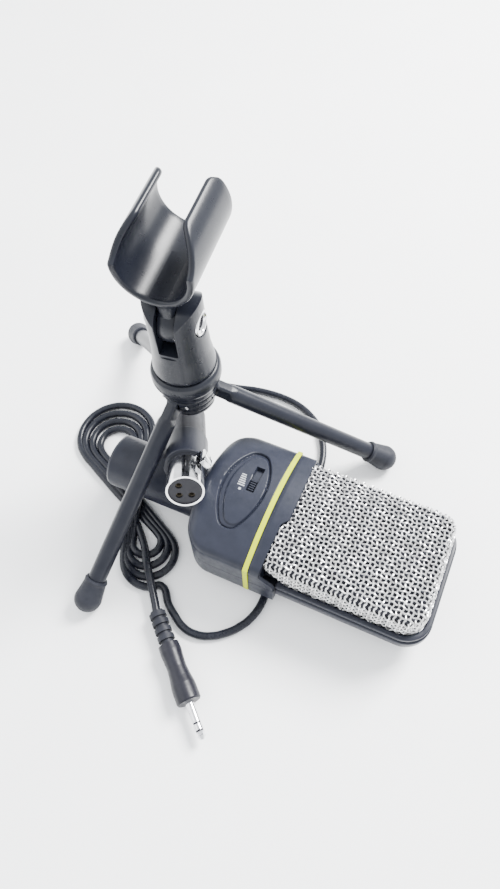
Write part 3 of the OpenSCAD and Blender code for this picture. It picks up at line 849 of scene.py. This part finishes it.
make_clip()
turned_piece("ring_nut", SWIVEL @ shift(0, 0, 98.9),
             [[(8.3, 2.9, 0), (9.4, 2.9, 0), (9.9, 3.5, 0.2), (10.38, 3.8, 0.3),
               (10.38, 4.5, 0.4), (9.9, 4.88, 0.3), (8.3, 4.88, 0), (8.3, 2.9, 0)]],
             CHROME, "clip_swivel_body", ("clip_nut",))
turned_piece("bolt_end", SWIVEL @ shift(0, 0, 98.9),
             [[(-10.5, 0, 0), (-10.5, 3.9, 0), (-10, 4.35, 0.3), (-8.3, 4.35, 0),
               (-8.3, 2.44, 0), (8.6, 2.44, 0), (8.9, 2.1, 0), (8.9, 0, 0)]],
             DARK, "clip_swivel_body", ("clip_bolt",))


# ---------- softened edges ----------

def soften(node, material, body, width, angle=32):
    """The CAD piece again with every hard edge rounded over."""
    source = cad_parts[node]
    mesh = bmesh.new()
    mesh.from_mesh(source.data)
    bmesh.ops.remove_doubles(mesh, verts=mesh.verts, dist=1e-6)
    bmesh.ops.dissolve_limit(mesh, angle_limit=math.radians(0.5), verts=mesh.verts,
                             edges=mesh.edges)
    hard = [edge for edge in mesh.edges
            if len(edge.link_faces) == 2 and edge.calc_face_angle(0) > math.radians(angle)]
    bmesh.ops.bevel(mesh, geom=hard, offset=width * MM, offset_type="OFFSET", segments=3,
                    profile=0.5, affect="EDGES", clamp_overlap=True)
    return finish_mesh(node + "_soft", mesh, material, body, (node,), 40)


soften("clip_base", CLIP_PLASTIC, "clip_swivel_body", 0.5)
soften("leg_hub", CLIP_PLASTIC, "stand", 0.25)
soften("hub_cap", CLIP_PLASTIC, "stand", 0.3)
soften("head_frame_front", SATIN, "microphone", 0.5)
soften("head_frame_rear", SATIN, "microphone", 0.7)
soften("xlr_latch", CHROME, "connector_latch", 0.15)


# Knuckle: its disc, then narrow enough for the hub's slot until it is clear of the hub
KNUCKLE_R, KNUCKLE_HALF = 3.6, 2.4
HUB_CLEAR, TUBE_START = 7.3, 10.0


def make_leg_end(index):
    """Knuckle round its pin, filling out to the round tube that it plugs into."""
    mesh = bmesh.new()
    matrix = leg_frame(index)
    rims = ((-KNUCKLE_HALF, 0.4), (-2.0, 0), (2.0, 0), (KNUCKLE_HALF, 0.4))
    add_loft(mesh, matrix,
             disc_sections(KNUCKLE_R, rims, 32, lambda y, x, z: Vector((x, y, z))))
    tube_r = LEG_TUBE_R - 0.02
    blend = []
    for along in (1.5, HUB_CLEAR, 7.6, 8.0, 8.4, 8.8, 9.2, 9.6, TUBE_START):
        t = smooth_step(HUB_CLEAR, TUBE_START, along)
        loop = rounded_loop(KNUCKLE_HALF + (tube_r - KNUCKLE_HALF) * t, 3.2 + (tube_r - 3.2) * t,
                            1.2 + (tube_r - 1.2) * t - 0.001, 0, 0)
        blend.append([Vector((along, point.x, point.y)) for point in loop])
    add_loft(mesh, matrix, blend)
    name = LEG_NAMES[index]
    finish_mesh("knuckle_" + name, mesh, PAINT, "leg_%s_body" % name,
                ("leg_end_" + name,), 50)


for leg_index in range(3):
    make_leg_end(leg_index)


# ---------- floor and light ----------

def make_stage():
    mesh = bpy.data.meshes.new("floor")
    half = 3.0
    mesh.from_pydata([(-half, -half, 0), (half, -half, 0), (half, half, 0), (-half, half, 0)],
                     [], [(0, 1, 2, 3)])
    floor = bpy.data.objects.new("floor", mesh)
    bpy.context.collection.objects.link(floor)
    material, shader = new_material("pale_floor", (0.86, 0.86, 0.85), 0.7)
    vary(material, shader, ((0.93, 0.93, 0.925), (0.96, 0.96, 0.955)), (0.6, 0.75), 12.0)
    dress(floor, material)


def add_area(name, place, target, size, power):
    data = bpy.data.lights.new(name, "AREA")
    data.shape = "SQUARE"
    data.size = size
    data.energy = power
    lamp = bpy.data.objects.new(name, data)
    lamp.location = place
    direction = Vector(target) - Vector(place)
    lamp.rotation_euler = direction.to_track_quat("-Z", "Y").to_euler()
    bpy.context.collection.objects.link(lamp)


def make_light():
    world = bpy.data.worlds.new("world")
    bpy.context.scene.world = world
    world.use_nodes = True
    world.node_tree.nodes["Background"].inputs["Color"].default_value = (0.93, 0.96, 1.0, 1)
    world.node_tree.nodes["Background"].inputs["Strength"].default_value = 2.3
    add_area("key_light", (0.45, 0.75, 0.9), (0, 0, 0.05), 0.5, 70)
    add_area("fill_light", (-0.8, -0.3, 0.7), (0, 0, 0.05), 0.9, 6)


make_stage()
make_light()
